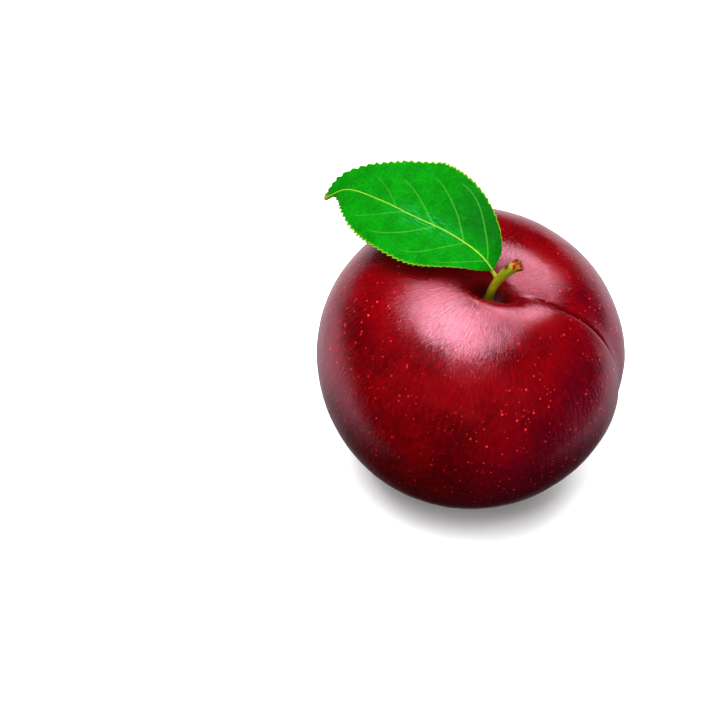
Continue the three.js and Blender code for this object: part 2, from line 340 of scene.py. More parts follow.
# Stalk
STALK_RADIUS = 0.87
STALK_END_RADIUS = 1.35
STALK_THICKENING = 0.24
THICKENING_STRETCH = (0.5, 0.86)
FLARE_STRETCH = (0.88, 1)
STALK_SINK = 2.4
STALK_ROUTE = [
    (0, 0, -STALK_SINK), (0, 0, 0), (-0.05, -0.2, 4), (0.25, -0.3, 7.5), (0.95, -0.2, 10.4),
    (2.2, 0.2, 13), (4.1, 0.9, 15),
]
CROWN = LEANING @ np.array([0, 0, STALK_HALF_HEIGHT - HOLLOW_DEPTH]) + MIDDLE

# Relief of the stalk: noise is given by its stretch lengthwise, its fineness and its seed
GRAIN_LENGTH = 5  # of the stalk, in the fibres' own terms
FIBRES = (0.35, 4.2, 4)
FIBRE_HEIGHT = 0.035
LUMPS = (2.2, 1.6, 5)
LUMP_HEIGHT = 0.05
RAGGED_EDGE = (0, 2.6, 6)
STALK_SHRINK = 0.03  # makes up for part of the height of fibres and lumps
BUD_SCAR_ALONG = 0.87
BUD_SCAR_ANGLE = math.radians(268)
BUD_SCAR_LENGTH = 0.025
BUD_SCAR_WIDTH = 0.5
BUD_SCAR_HEIGHT = 0.3
BARK_STRETCH = (0.875, 0.98)
TORN_STRETCH = (0.955, 1)
TORN_FIBRE_HEIGHT = 0.14
TORN_RAGGEDNESS = 0.45
TORN_LOSS = 0.2
CAP_ROUGHNESS = 0.22
CAP_FINENESS = 2.1
CAP_HOLLOW = 0.42

STALK_SIDES = 56
STALK_STEPS = 190
CAP_RINGS = 12


def on_crown(points):
    return points @ LEANING.T + CROWN


def stalk_skin(route):
    """Rings of points round the stalk, with each one's grain and its share of bud scar and of bark"""
    share = np.linspace(0, 1, STALK_STEPS + 1)
    angle = np.linspace(0, 2 * math.pi, STALK_SIDES, endpoint=False)
    along, angle = np.meshgrid(share, angle, indexing="ij")
    tangent = route.tangent(share)
    side = np.array([0.0, 1.0, 0.0])
    across = unit(side - tangent * (tangent @ side)[:, None])
    third = np.cross(across, tangent)

    grain = np.stack([np.cos(angle), np.sin(angle), along * GRAIN_LENGTH], -1)
    fibres, lumps, edge = (noise_at(grain * [1, 1, stretch], fineness, seed)
                           for stretch, fineness, seed in (FIBRES, LUMPS, RAGGED_EDGE))
    scar_side = bell(2 * np.sin((angle - BUD_SCAR_ANGLE) / 2), BUD_SCAR_WIDTH)
    scar = bell(along - BUD_SCAR_ALONG, BUD_SCAR_LENGTH) * scar_side
    torn = smoothstep(along, *TORN_STRETCH)
    flare = STALK_END_RADIUS - STALK_RADIUS - STALK_THICKENING
    radius = STALK_RADIUS + STALK_THICKENING * smoothstep(along, *THICKENING_STRETCH)
    radius = radius + flare * smoothstep(along, *FLARE_STRETCH) - STALK_SHRINK
    radius = radius + FIBRE_HEIGHT * fibres + LUMP_HEIGHT * lumps + BUD_SCAR_HEIGHT * scar
    radius = radius + torn * TORN_FIBRE_HEIGHT * fibres
    ragged = torn * (TORN_RAGGEDNESS * edge - TORN_LOSS)

    centre = route.point(share)[:, None, :] + tangent[:, None, :] * ragged[..., None]
    outward = across[:, None, :] * np.cos(angle)[..., None] + third[:, None, :] * np.sin(angle)[..., None]
    skin = (centre + outward * radius[..., None]).reshape(-1, 3)
    return skin, grain.reshape(-1, 3), scar.ravel(), smoothstep(along, *BARK_STRETCH).ravel()


def torn_end(edge, centre, outward):
    """Rings of broken fibres within the stalk's last ring, sunk in the middle, and how deep each point lies
    in a pit, for the painted shade there
    """
    rings, pit_shades = [], []
    for ring in range(1, CAP_RINGS):
        inner = 1 - ring / CAP_RINGS
        level = centre + (edge - centre) * inner
        rough = noise_at(level, CAP_FINENESS, 7)
        height = CAP_ROUGHNESS * rough - CAP_HOLLOW * (1 - inner ** 2) ** 1.5
        rings.append(level + outward * height[:, None])
        pit_shades.append(np.clip(0.5 - rough, 0, 1))
    return np.concatenate(rings), np.concatenate(pit_shades)


def stalk_mesh():
    route = Route(STALK_ROUTE)
    skin, grain, scar, bark = stalk_skin(route)
    end = np.array([1.0])
    cap, pit_shades = torn_end(skin[-STALK_SIDES:], route.point(end), route.tangent(end))
    middle = cap[-STALK_SIDES:].mean(axis=0, keepdims=True)
    points = np.vstack([skin, cap, middle, route.point(np.array([0.0]))])

    # the rings run against the sense of the angle, so their faces are turned to look outward
    rings = STALK_STEPS + CAP_RINGS
    last = rings * STALK_SIDES
    faces = ring_faces(rings, STALK_SIDES) + fan_faces(last - STALK_SIDES, STALK_SIDES, last)
    faces = turned(faces) + fan_faces(0, STALK_SIDES, last + 1)

    cap_grain = [grain[-STALK_SIDES:]] * (CAP_RINGS - 1)
    return on_crown(points), faces, {
        "grain": np.vstack([grain] + cap_grain + [[[0, 0, GRAIN_LENGTH]], [[0, 0, 0]]]),
        "scar": np.concatenate([scar, np.zeros(len(cap)), [0, 0]]),
        "end": np.concatenate([bark, np.ones(len(cap)), [1, 0]]),
        "pit": np.concatenate([np.zeros(len(skin)), pit_shades, [0.6, 0]]),
    }


# Leaf
LEAF_ROUTE = [
    (-0.4, 0.35, 10.6), (-2.8, 1.8, 12.4), (-5.3, 3.4, 12.9), (-11.3, 7.3, 11.6), (-17.6, 11, 9.1),
    (-25.6, 15.8, 6), (-32.4, 19.3, 2.3), (-36.5, 19.4, -2.3),
]
BLADE_START = 0.02
# each half's width, where it is widest, where it ends, and the powers of its base and tip
BACK_BLADE = (13.9, 0.53, 1.02, 0.58, 1.1)
FRONT_BLADE = (10.3, 0.44, 0.95, 0.7, 2.5)
LEAST_HALF_WIDTH = 0.3
BLADE_BANK = 0.25
BLADE_FOLD = 0.13
BLADE_ROLL = 0.008
WAVE_HEIGHT = 0.5
WAVE_COUNT = 2.5
WAVE_LAG = 2.0
FULL_WAVE_WIDTH = 6  # half width from which the wave has its full height
FULL_TOOTH_WIDTH = 3  # half width from which the teeth have theirs
TEETH = 38
TOOTH_DEPTH = 0.5
TOOTH_LEAN = 0.35
TOOTH_PEAK = 0.66  # share of a tooth's length at which it stands out furthest
TOOTH_MIDDLE = 0.6  # share of a tooth's height that the plain margin runs through
TOOTH_REACH = 8  # the power that keeps the teeth close to the margin
TOOTH_VARIETY = 0.35
BLADE_HALF_THICKNESS = 0.30
MARGIN_HALF_THICKNESS = 0.12
MARGIN_THINNING = 1.2  # the power by which the blade thins towards its margin
MARGIN_STRETCH = (0.93, 1.0)  # of the way out, coloured as margin
TIP_STRETCH = (0.965, 1.0)  # of the way along, turning brown
PUFFS = [(0.06, 0.55, 8), (0.12, 0.16, 9)]  # height, fineness and seed of each
VEIN_SINK = 0.10
VEIN_STAND = 0.12  # how far the veins stand out below
MIDRIB_RADIUS = 0.58
MIDRIB_TIP_RADIUS = 0.40
MIDRIB_DROP = 0.06
MIDRIB_TAPER_END = 0.62
MIDRIB_BLEND = 0.10

# The leaf's own short stalk, from the skin of the fruit's stalk into the midrib
LEAF_STALK_FOOT = (0.15, 0.05, 10.15)
LEAF_STALK_SHARES = [0.0, 0.03, 0.06, 0.12]  # of the leaf's route
LEAF_STALK_RADIUS = 0.38
LEAF_STALK_FLARE = 0.14
LEAF_STALK_FLARE_LENGTH = 0.10
LEAF_STALK_TAPER = 0.02
LEAF_STALK_STEPS = 40
LEAF_STALK_SIDES = 20

BLADE_STEPS = 10 * TEETH
BLADE_HALF_COLUMNS = 60
COLUMN_CROWDING = 1.15

# Side veins: where each leaves the midrib in mm along, how steeply it runs on, how far out it reaches
# and its strength
BACK_VEINS = [
    (2.7, 0.95, 11.0, 1.0), (5.9, 1.0, 10.2, 0.4), (9.0, 1.1, 9.9, 1.0), (12.9, 1.25, 8.4, 0.4),
    (16.6, 1.55, 6.6, 1.0), (21.6, 1.5, 6.4, 0.45), (26.5, 1.35, 5.0, 0.8), (31.5, 1.4, 3.6, 0.5),
    (36.0, 1.4, 2.2, 0.4),
]
FRONT_VEINS = [
    (3.2, 0.75, 7.4, 0.8), (6.0, 0.8, 7.9, 0.4), (8.7, 0.85, 8.3, 0.9), (12.4, 1.0, 8.0, 0.4),
    (16.3, 1.1, 7.6, 1.0), (20.5, 1.2, 7.0, 0.45), (24.5, 1.3, 6.0, 0.8), (29.5, 1.4, 4.6, 0.5),
    (34.2, 1.4, 2.8, 0.4),
]
VEIN_WIDTH = 0.22
VEIN_END_WIDTH = 0.16
VEIN_CURL = 1.6  # how sharply a side vein turns along the margin at its reach
VEIN_LAST_SHARE = 0.985  # of its reach, where the curl stops


def half_width(share, blade):
    width, widest, end, base, tip = blade
    rising = np.clip((share - BLADE_START) / (widest - BLADE_START), 0, 1)
    falling = np.clip((share - widest) / (end - widest), 0, 1)
    return width * np.sin(rising * math.pi / 2) ** base * (1 - falling ** tip)


def vein_nearness(along, out, veins):
    """How strongly a point lies on a side vein, from 0 to 1"""
    best = np.zeros_like(along)
    for start, lean, reach, strength in veins:
        share = np.clip(out / reach, 0, VEIN_LAST_SHARE)
        line = start + lean * out + VEIN_CURL * (-np.log(1 - share) - share)
        slope = lean + VEIN_CURL / reach * share / (1 - share)
        gap = np.abs(along - line) / np.sqrt(1 + slope ** 2)
        width = lerp(VEIN_WIDTH, VEIN_END_WIDTH, share) * (0.7 + 0.3 * strength)
        fade = strength * smoothstep(reach * 1.02 - out, 0, 0.8)
        best = np.maximum(best, fade * bell(gap, width))
    return best


def blade_frame(route, share):
    """The route's tangents, and the blade's up and across directions, banked to one side"""
    tangent = route.tangent(share)
    upright = unit(np.array([0, 0, 1.0]) - tangent * tangent[:, 2:3])
    level = np.cross(upright, tangent)
    cosine, sine = math.cos(-BLADE_BANK), math.sin(-BLADE_BANK)
    up = upright * cosine + np.cross(tangent, upright) * sine
    across = level * cosine + np.cross(tangent, level) * sine
    return tangent, up, across


def tooth_form(share, plain, backwards):
    """How high each point lies on its tooth, from 0 to 1, and how far out that puts the margin"""
    count = (share - BLADE_START) / (1 - BLADE_START) * TEETH
    part = count - np.floor(count)
    height = np.where(part < TOOTH_PEAK, part / TOOTH_PEAK, (1 - part) / (1 - TOOTH_PEAK))
    variety = 1 + TOOTH_VARIETY * np.sin(count.astype(int) * 2.4 + backwards * 1.3)
    depth = TOOTH_DEPTH * variety * np.minimum(1, plain / FULL_TOOTH_WIDTH)
    return height, depth * (height - TOOTH_MIDDLE)


def blended(a, b):
    """The greater of two heights, with a soft change between them"""
    return np.log(np.exp(a / MIDRIB_BLEND) + np.exp(b / MIDRIB_BLEND)) * MIDRIB_BLEND


def blade_faces(rows, columns):
    """Quads over the blade's upper face, then its lower face, and round its margin"""
    count = rows * columns
    faces = []
    for i in range(rows - 1):
        for j in range(columns - 1):
            a = i * columns + j
            faces.append((a, a + columns, a + columns + 1, a + 1))
            faces.append((count + a, count + a + 1, count + a + columns + 1, count + a + columns))
    back = [i * columns for i in range(rows)]
    front = [i + columns - 1 for i in back]
    first, last = range(columns), range(count - columns, count)
    for edge, flip in ((back, False), (front, True), (first, True), (last, False)):
        quads = [(a, count + a, count + b, b) for a, b in zip(edge, edge[1:])]
        faces += turned(quads) if flip else quads
    return faces


def blade_mesh(route):
    """The toothed blade's upper and lower points, its faces and what its material reads"""
    share = np.linspace(BLADE_START, 1, BLADE_STEPS + 1)
    half = np.linspace(0, 1, BLADE_HALF_COLUMNS + 1) ** COLUMN_CROWDING
    shares, aside = np.meshgrid(share, np.concatenate([-half[::-1], half[1:]]), indexing="ij")
    tangent, up, across = blade_frame(route, share)

    backwards = aside < 0
    full = np.where(backwards, half_width(shares, BACK_BLADE), half_width(shares, FRONT_BLADE))
    plain = np.maximum(full, LEAST_HALF_WIDTH)
    edge = np.abs(aside) ** TOOTH_REACH
    tooth, tooth_out = tooth_form(shares, plain, backwards)
    out = aside * plain + np.sign(aside) * tooth_out * edge
    swing = 2 * math.pi * WAVE_COUNT * shares + backwards * WAVE_LAG
    wave = WAVE_HEIGHT * np.minimum(1, plain / FULL_WAVE_WIDTH) * np.sin(swing)
    rise = BLADE_FOLD * np.abs(out) - BLADE_ROLL * out ** 2 + wave * (out / plain) ** 2

    along, from_rib = shares * route.length, np.abs(out)
    flat = np.stack([along, out, np.zeros_like(out)], -1)
    back_veins, front_veins = (vein_nearness(along, from_rib, veins) for veins in (BACK_VEINS, FRONT_VEINS))
    veins = np.where(backwards, back_veins, front_veins) * smoothstep(plain - from_rib, 0.2, 1.2)
    puff = sum(height * noise_at(flat, fineness, seed) for height, fineness, seed in PUFFS)
    puff = puff * smoothstep(plain - from_rib, 0, 1.5) * smoothstep(from_rib, 0.3, 2)

    rib_radius = lerp(MIDRIB_RADIUS, MIDRIB_TIP_RADIUS, np.minimum(1, shares / MIDRIB_TAPER_END))
    rib = np.sqrt(np.maximum(rib_radius ** 2 - out ** 2, 0))
    thick = lerp(BLADE_HALF_THICKNESS, MARGIN_HALF_THICKNESS, np.abs(aside) ** MARGIN_THINNING)
    thick = np.minimum(thick, 0.1 + 0.25 * plain)
    top = np.where(rib > 0, blended(thick, rib - MIDRIB_DROP * 2), thick) - VEIN_SINK * veins + puff
    low = np.where(rib > 0, blended(thick, rib + MIDRIB_DROP), thick) + VEIN_STAND * veins - puff
    top = lerp(top, np.maximum(top, thick + 0.02), 1 - smoothstep(from_rib, 0.2, 0.9))

    lean = tooth * TOOTH_LEAN * edge
    centre = route.point(share)[:, None, :] + across[:, None, :] * out[..., None]
    centre = centre + tangent[:, None, :] * lean[..., None] + up[:, None, :] * rise[..., None]
    upper = centre + up[:, None, :] * top[..., None]
    lower = centre - up[:, None, :] * low[..., None]
    return np.vstack([upper.reshape(-1, 3), lower.reshape(-1, 3)]), blade_faces(*shares.shape), {
        "blade": np.tile(flat.reshape(-1, 3), (2, 1)),
        "vein": np.tile(veins.ravel(), 2),
        "margin": np.tile(smoothstep(np.abs(aside), *MARGIN_STRETCH).ravel(), 2),
        "rib": np.tile(bell(out, rib_radius * 0.5).ravel(), 2),
        "tip": np.tile(smoothstep(shares, *TIP_STRETCH).ravel(), 2),
        "under": np.repeat([0.0, 1.0], shares.size),
    }


def leaf_stalk_mesh(leaf_route, first):
    """The leaf's own stalk, its points numbered from first, browner at its foot"""
    route = Route(np.vstack([LEAF_STALK_FOOT, leaf_route.point(np.array(LEAF_STALK_SHARES))]))
    share = np.linspace(0, 1, LEAF_STALK_STEPS + 1)
    angle = np.linspace(0, 2 * math.pi, LEAF_STALK_SIDES, endpoint=False)[None, :, None]
    tangent = route.tangent(share)
    up = unit(np.array([0, 0, 1.0]) - tangent * tangent[:, 2:3])
    across = np.cross(up, tangent)
    radius = LEAF_STALK_RADIUS + LEAF_STALK_FLARE * bell(share, LEAF_STALK_FLARE_LENGTH)
    radius = radius - LEAF_STALK_TAPER * smoothstep(share, 0.6, 1.0)
    outward = up[:, None, :] * np.cos(angle) + across[:, None, :] * np.sin(angle)
    tube = route.point(share)[:, None, :] + radius[:, None, None] * outward - [0, 0, MIDRIB_DROP]
    points = np.vstack([tube.reshape(-1, 3), route.point(np.array([0.0, 1.0]))])

    foot, head = first + len(points) - 2, first + len(points) - 1
    faces = ring_faces(LEAF_STALK_STEPS + 1, LEAF_STALK_SIDES, first=first)
    faces += fan_faces(foot - LEAF_STALK_SIDES, LEAF_STALK_SIDES, head)
    faces = turned(faces) + fan_faces(first, LEAF_STALK_SIDES, foot)
    plain = np.zeros(len(points))
    return points, faces, {
        "blade": np.repeat([[0.5, 0.0, 0.0]], len(points), axis=0),
        "vein": plain,
        "margin": plain,
        "rib": np.ones(len(points)),
        "tip": 0.8 * np.concatenate([np.repeat(bell(share, 0.3), LEAF_STALK_SIDES), [1, 0]]),
        "under": plain,
    }


def leaf_mesh():
    route = Route(LEAF_ROUTE)
    points, faces, values = blade_mesh(route)
    stalk_points, stalk_faces, stalk_values = leaf_stalk_mesh(route, len(points))
    values = {key: np.concatenate([values[key], stalk_values[key]]) for key in values}
    return on_crown(np.vstack([points, stalk_points])), faces + stalk_faces, values


# Materials: colours are linear red, green, blue and opacity, bump distances are in metres, and noise
# is as fine as its scale in each unit of the place that it reads
DEEP_CRIMSON = (0.07, 0.0, 0.001, 1)
CRIMSON = (0.145, 0.0, 0.001, 1)
BRIGHT_RED = (0.25, 0.0, 0.001, 1)
# painted shade and purplish reflection for the skin's low seam side
PURPLE_SHADE_AND_SHEEN = (0.065, 0.001, 0.014, 1)
DARK_STREAK = (0.035, 0.0, 0.001, 1)
# painted shade in the hollow round the stalk
HOLLOW_SHADE = (0.016, 0.0, 0.001, 1)
BROWN_HOLLOW = (0.054, 0.025, 0.004, 1)
# painted shade in the seam's crease
CREASE_SHADE = (0.012, 0.0, 0.001, 1)
BLOSSOM_BROWN = (0.05, 0.02, 0.008, 1)
RED_DOT = (0.95, 0.016, 0.012, 1)
PINK_DOT = (0.75, 0.06, 0.06, 1)
SKIN_FINISH = {"IOR": 1.6, "Specular IOR Level": 1.0, "Specular Tint": (1.0, 0.43, 0.59, 1)}

STALK_GREEN = (0.15, 0.16, 0.0, 1)
STALK_YELLOW = (0.33, 0.28, 0.0, 1)
STALK_DEEP_GREEN = (0.08, 0.115, 0.0, 1)
STALK_SPECK = (0.06, 0.03, 0.0024, 1)
BUD_SCAR_BROWN = (0.055, 0.012, 0.001, 1)
BARK_BROWN = (0.10, 0.016, 0.001, 1)
BARK_ORANGE = (0.52, 0.125, 0.006, 1)
# painted shade in the pits of the torn end
PIT_SHADE_BROWN = (0.09, 0.012, 0.001, 1)
STALK_FINISH = {"Specular IOR Level": 0.3}

LEAF_GREEN = (0.0, 0.12, 0.0, 1)
LEAF_BRIGHT_GREEN = (0.0, 0.165, 0.0, 1)
LEAF_DARK_GREEN = (0.0, 0.08, 0.0, 1)
# painted shade on the back half of the leaf near its base
LEAF_BASE_SHADE = (0.0, 0.045, 0.0, 1)
NET_GREEN = (0.0225, 0.255, 0.0075, 1)
# painted sheen beside the midrib
SHEEN_GREEN = (0.02, 0.28, 0.08, 1)
VEIN_GREEN = (0.05, 0.27, 0.015, 1)
MIDRIB_GREEN = (0.18, 0.32, 0.025, 1)
MARGIN_GREEN = (0.165, 0.3, 0.0075, 1)
TIP_BROWN = (0.24, 0.165, 0.015, 1)
UNDERSIDE_GREEN = (0.09, 0.225, 0.0525, 1)
UNDERSIDE_VEIN = (0.255, 0.36, 0.12, 1)
UNDERSIDE_NET = (0.18, 0.315, 0.105, 1)
LEAF_FINISH = {"Specular IOR Level": 0.1, "Specular Tint": (0.1, 1.0, 0.3, 1)}

FLOOR_WHITE = (0.93, 0.93, 0.93, 1)
FLOOR_FINISH = {"Base Color": FLOOR_WHITE, "Roughness": 0.9, "Specular IOR Level": 0.1}


class Nodes:
    """Makes and joins the nodes of one tree"""

    def __init__(self, tree):
        self.tree = tree

    def link(self, value, socket):
        if isinstance(value, bpy.types.NodeSocket):
            self.tree.links.new(value, socket)
        elif value is not None:
            socket.default_value = value

    def outputs(self, kind, inputs=(), **settings):
        node = self.tree.nodes.new(kind)
        for key, value in settings.items():
            setattr(node, key, value)
        for key, value in dict(inputs).items():
            self.link(value, node.inputs[key])
        return node.outputs

    def attribute(self, name, vector=False):
        return self.outputs("ShaderNodeAttribute", attribute_name=name)["Vector" if vector else "Fac"]

    def place(self, kind="Object"):
        return self.outputs("ShaderNodeTexCoord")[kind]

    def axes(self, vector):
        return self.outputs("ShaderNodeSeparateXYZ", {0: vector})

    def math(self, operation, a, b=None, c=None, clamp=False):
        return self.outputs("ShaderNodeMath", {0: a, 1: b, 2: c}, operation=operation, use_clamp=clamp)[0]

    def vector(self, operation, a, b, output="Vector"):
        return self.outputs("ShaderNodeVectorMath", {0: a, 1: b}, operation=operation)[output]

    def noise(self, where, scale, detail=3.0, roughness=0.5, distortion=0.0, output="Fac"):
        return self.outputs("ShaderNodeTexNoise", {
            "Vector": where, "Scale": scale, "Detail": detail, "Roughness": roughness,
            "Distortion": distortion})[output]

    def cells(self, where, scale, feature="F1"):
        return self.outputs("ShaderNodeTexVoronoi", {"Vector": where, "Scale": scale}, feature=feature)

    def step(self, value, low, high, to_low=0.0, to_high=1.0):
        return self.outputs("ShaderNodeMapRange", {
            "Value": value, "From Min": low, "From Max": high, "To Min": to_low, "To Max": to_high},
            interpolation_type="SMOOTHSTEP")[0]

    def mix(self, share, a, b):
        return self.outputs("ShaderNodeMix", {0: share, 6: a, 7: b}, data_type="RGBA")[2]

    def bump(self, height, distance, strength=1.0, normal=None):
        return self.outputs("ShaderNodeBump", {
            "Height": height, "Distance": distance, "Strength": strength, "Normal": normal})[0]


class MaterialNodes(Nodes):
    """A new material's nodes, round its one shader"""

    def __init__(self, name):
        self.material = bpy.data.materials.new(name)
        self.material.use_nodes = True
        super().__init__(self.material.node_tree)
        self.shader = self.tree.nodes["Principled BSDF"]

    def finish(self, colour=None, roughness=None, normal=None, **uniform):
        self.link(colour, self.shader.inputs["Base Color"])
        self.link(roughness, self.shader.inputs["Roughness"])
        self.link(normal, self.shader.inputs["Normal"])
        for key, value in uniform.items():
            self.shader.inputs[key].default_value = value
        return self.material


# Dots of the breathing pores: how many cells there are to a metre and a shift for each of two sets
DOT_SETS = [(640, 0.0), (900, 0.37)]
DOT_RADII = (0.02, 0.20)  # the least and the greatest, as shares of a cell
DOT_SOFT_EDGE = 0.06


def skin_dots(n, where):
    """How strongly a point lies on a dot, from 0 to 1"""
    dots = None
    for scale, shift in DOT_SETS:
        cells = n.cells(n.vector("ADD", where, (shift, shift * 0.7, -shift)), scale)
        chance = n.outputs("ShaderNodeSeparateColor", {"Color": cells["Color"]})[0]
        size = n.step(chance, 0.2, 0.95, *DOT_RADII)
        dot = n.step(n.math("SUBTRACT", size, cells["Distance"]), 0.0, DOT_SOFT_EDGE)
        dots = dot if dots is None else n.math("MAXIMUM", dots, n.math("MULTIPLY", dot, 0.7))
    crowd = n.step(n.noise(where, 28, 1), 0.36, 0.62, 0.35, 1.0)
    return n.math("MULTIPLY", dots, crowd)


def skin_material():
    n = MaterialNodes("plum_skin")
    where = n.place()
    grain = n.attribute("grain", vector=True)
    bowl = n.attribute("bowl")

    # deep crimson, clouded with brighter red, and purple painted towards the low seam side as shade and a
    # dull purplish reflection
    clouds = n.noise(where, 95, 4, 0.55, 0.3)
    patches = n.step(n.noise(where, 36, 2, 0.5), 0.46, 0.74)
    colour = n.mix(n.step(clouds, 0.36, 0.66), DEEP_CRIMSON, CRIMSON)
    colour = n.mix(n.math("MULTIPLY", patches, 0.5), colour, BRIGHT_RED)
    axes = n.axes(where)
    painted_purple_side = n.math("SUBTRACT", n.math("MULTIPLY_ADD", axes["Z"], -0.8, axes["X"]), 0.02)
    painted_purple_side = n.math("MULTIPLY_ADD", n.noise(where, 30, 2, 0.5), 0.04, painted_purple_side)
    colour = n.mix(n.step(painted_purple_side, -0.03, 0.01, 0.0, 0.75), colour, PURPLE_SHADE_AND_SHEEN)

    # fine streaks that run from the stalk to the blossom end
    streak = n.noise(n.vector("MULTIPLY", grain, (62, 62, 15)), 1.0, 4, 0.62, 0.4)
    colour = n.mix(n.step(streak, 0.36, 0.66, 0.0, 0.35), colour, DARK_STREAK)
    fine = n.noise(n.vector("MULTIPLY", grain, (34, 34, 20)), 1.0, 4, 0.65)
    colour = n.mix(n.step(fine, 0.46, 0.74, 0.0, 0.45), colour, BRIGHT_RED)

    # painted shade darkens the hollow, and the skin is greenish brown close round the stalk
    colour = n.mix(n.step(bowl, 0.25, 0.85, 0.0, 0.75), colour, HOLLOW_SHADE)
    colour = n.mix(n.step(bowl, 0.975, 1.0, 0.0, 0.8), colour, BROWN_HOLLOW)
    # painted shade along the crease of the seam
    colour = n.mix(n.math("MULTIPLY", n.attribute("crease"), 0.55), colour, CREASE_SHADE)
    scar = n.step(n.attribute("polar"), math.pi - 0.055, math.pi - 0.02)
    colour = n.mix(scar, colour, BLOSSOM_BROWN)

    dots = skin_dots(n, where)
    tint = n.mix(n.noise(where, 260, 1), RED_DOT, PINK_DOT)
    colour = n.mix(n.math("MULTIPLY", dots, 0.85, clamp=True), colour, tint)

    roughness = n.step(n.noise(where, 210, 3, 0.6), 0.3, 0.7, 0.11, 0.17)
    normal = n.bump(streak, 0.00009)
    normal = n.bump(n.noise(where, 1900, 2, 0.6), 0.000008, 0.9, normal)
    normal = n.bump(dots, 0.00003, 0.8, normal)
    return n.finish(colour, roughness, normal, **SKIN_FINISH)


def stalk_material():
    n = MaterialNodes("green_stalk")
    where = n.place()
    grain = n.attribute("grain", vector=True)
    fibre = n.noise(n.vector("MULTIPLY", grain, (5, 5, 1.2)), 1.0, 4, 0.6)
    colour = n.mix(n.step(fibre, 0.3, 0.7), STALK_GREEN, STALK_YELLOW)
    green = n.step(n.noise(where, 210, 2), 0.42, 0.62)
    colour = n.mix(n.math("MULTIPLY", green, 0.5), colour, STALK_DEEP_GREEN)
    specks = n.step(n.noise(where, 1500, 2, 0.6), 0.66, 0.74)
    colour = n.mix(n.math("MULTIPLY", specks, 0.7), colour, STALK_SPECK)
    colour = n.mix(n.step(n.attribute("scar"), 0.1, 0.6), colour, BUD_SCAR_BROWN)

    # bark at the torn end, with a ragged border
    bark = n.mix(n.step(n.noise(where, 1100, 3, 0.6), 0.44, 0.64), BARK_BROWN, BARK_ORANGE)
    end = n.math("SUBTRACT", n.attribute("end"), 0.8)
    ragged = n.math("MULTIPLY_ADD", n.noise(where, 700, 2, 0.6), 1.6, end)
    colour = n.mix(n.step(ragged, 0.3, 0.6), colour, bark)
    # painted shade in the sunken pits of the torn end
    colour = n.mix(n.step(n.attribute("pit"), 0.35, 0.75), colour, PIT_SHADE_BROWN)

    normal = n.bump(fibre, 0.00008)
    normal = n.bump(n.noise(where, 1700, 3, 0.6), 0.00003, 0.9, normal)
    return n.finish(colour, n.step(fibre, 0.3, 0.7, 0.5, 0.66), normal, **STALK_FINISH)


def leaf_net(n, blade):
    """How strongly a point lies on the net of small veins, from 0 to 1"""
    bent = n.vector("ADD", blade, n.noise(blade, 0.8, 2.0, output="Color"))
    coarse = n.cells(bent, 0.85, "DISTANCE_TO_EDGE")["Distance"]
    fine = n.cells(bent, 2.4, "DISTANCE_TO_EDGE")["Distance"]
    return n.math("MAXIMUM", n.step(coarse, 0.07, 0.0), n.math("MULTIPLY", n.step(fine, 0.10, 0.0), 0.5))


def leaf_material():
    n = MaterialNodes("green_leaf")
    blade = n.attribute("blade", vector=True)
    vein = n.attribute("vein")
    rib = n.attribute("rib")
    axes = n.axes(blade)
    along, out = axes["X"], axes["Y"]

    clouds = n.noise(blade, 0.30, 3, 0.6)
    colour = n.mix(n.step(clouds, 0.35, 0.65), LEAF_GREEN, LEAF_BRIGHT_GREEN)
    fine = n.noise(blade, 1.7, 4, 0.65)
    colour = n.mix(n.step(fine, 0.40, 0.66, 0.0, 0.5), colour, LEAF_DARK_GREEN)
    # painted shade: the back half darker towards the base, as that half is turned from the light
    back_base_shade = n.math("MULTIPLY", n.step(along, 24, 6), n.step(out, 1.0, -5.0))
    colour = n.mix(n.math("MULTIPLY", back_base_shade, 0.85), colour, LEAF_BASE_SHADE)
    net = leaf_net(n, blade)
    colour = n.mix(n.math("MULTIPLY", net, 0.16), colour, NET_GREEN)

    # a painted pale bluish sheen beside the midrib, in streaks
    streak = n.step(n.noise(n.vector("MULTIPLY", blade, (0.5, 2.4, 1)), 1.0, 3, 0.6), 0.42, 0.68)
    beside = n.step(n.math("ABSOLUTE", out), 3.6, 0.5)
    middle = n.math("MULTIPLY", n.step(along, 8, 16), n.step(along, 31, 21))
    midrib_sheen = n.math("MULTIPLY", n.math("MULTIPLY", beside, middle), streak)
    colour = n.mix(n.math("MULTIPLY", midrib_sheen, 0.4), colour, SHEEN_GREEN)

    colour = n.mix(n.step(vein, 0.3, 1.0, 0.0, 0.55), colour, VEIN_GREEN)
    colour = n.mix(n.step(rib, 0.6, 0.95), colour, MIDRIB_GREEN)
    colour = n.mix(n.step(n.attribute("margin"), 0.35, 1.0, 0.0, 0.8), colour, MARGIN_GREEN)
    colour = n.mix(n.attribute("tip"), colour, TIP_BROWN)

    # the paler underside
    ribs = n.math("MULTIPLY", n.math("MAXIMUM", vein, rib), 0.8)
    below = n.mix(ribs, UNDERSIDE_GREEN, UNDERSIDE_VEIN)
    below = n.mix(n.math("MULTIPLY", net, 0.3), below, UNDERSIDE_NET)
    colour = n.mix(n.attribute("under"), colour, below)

    normal = n.bump(net, 0.00006, 0.8)
    normal = n.bump(fine, 0.00010, 0.8, normal)
    normal = n.bump(n.noise(blade, 7.0, 2, 0.6), 0.00002, 0.8, normal)
    return n.finish(colour, n.step(fine, 0.3, 0.7, 0.42, 0.54), normal, **LEAF_FINISH)


# Stage
FLOOR_HALF_SIDE = 1600.0


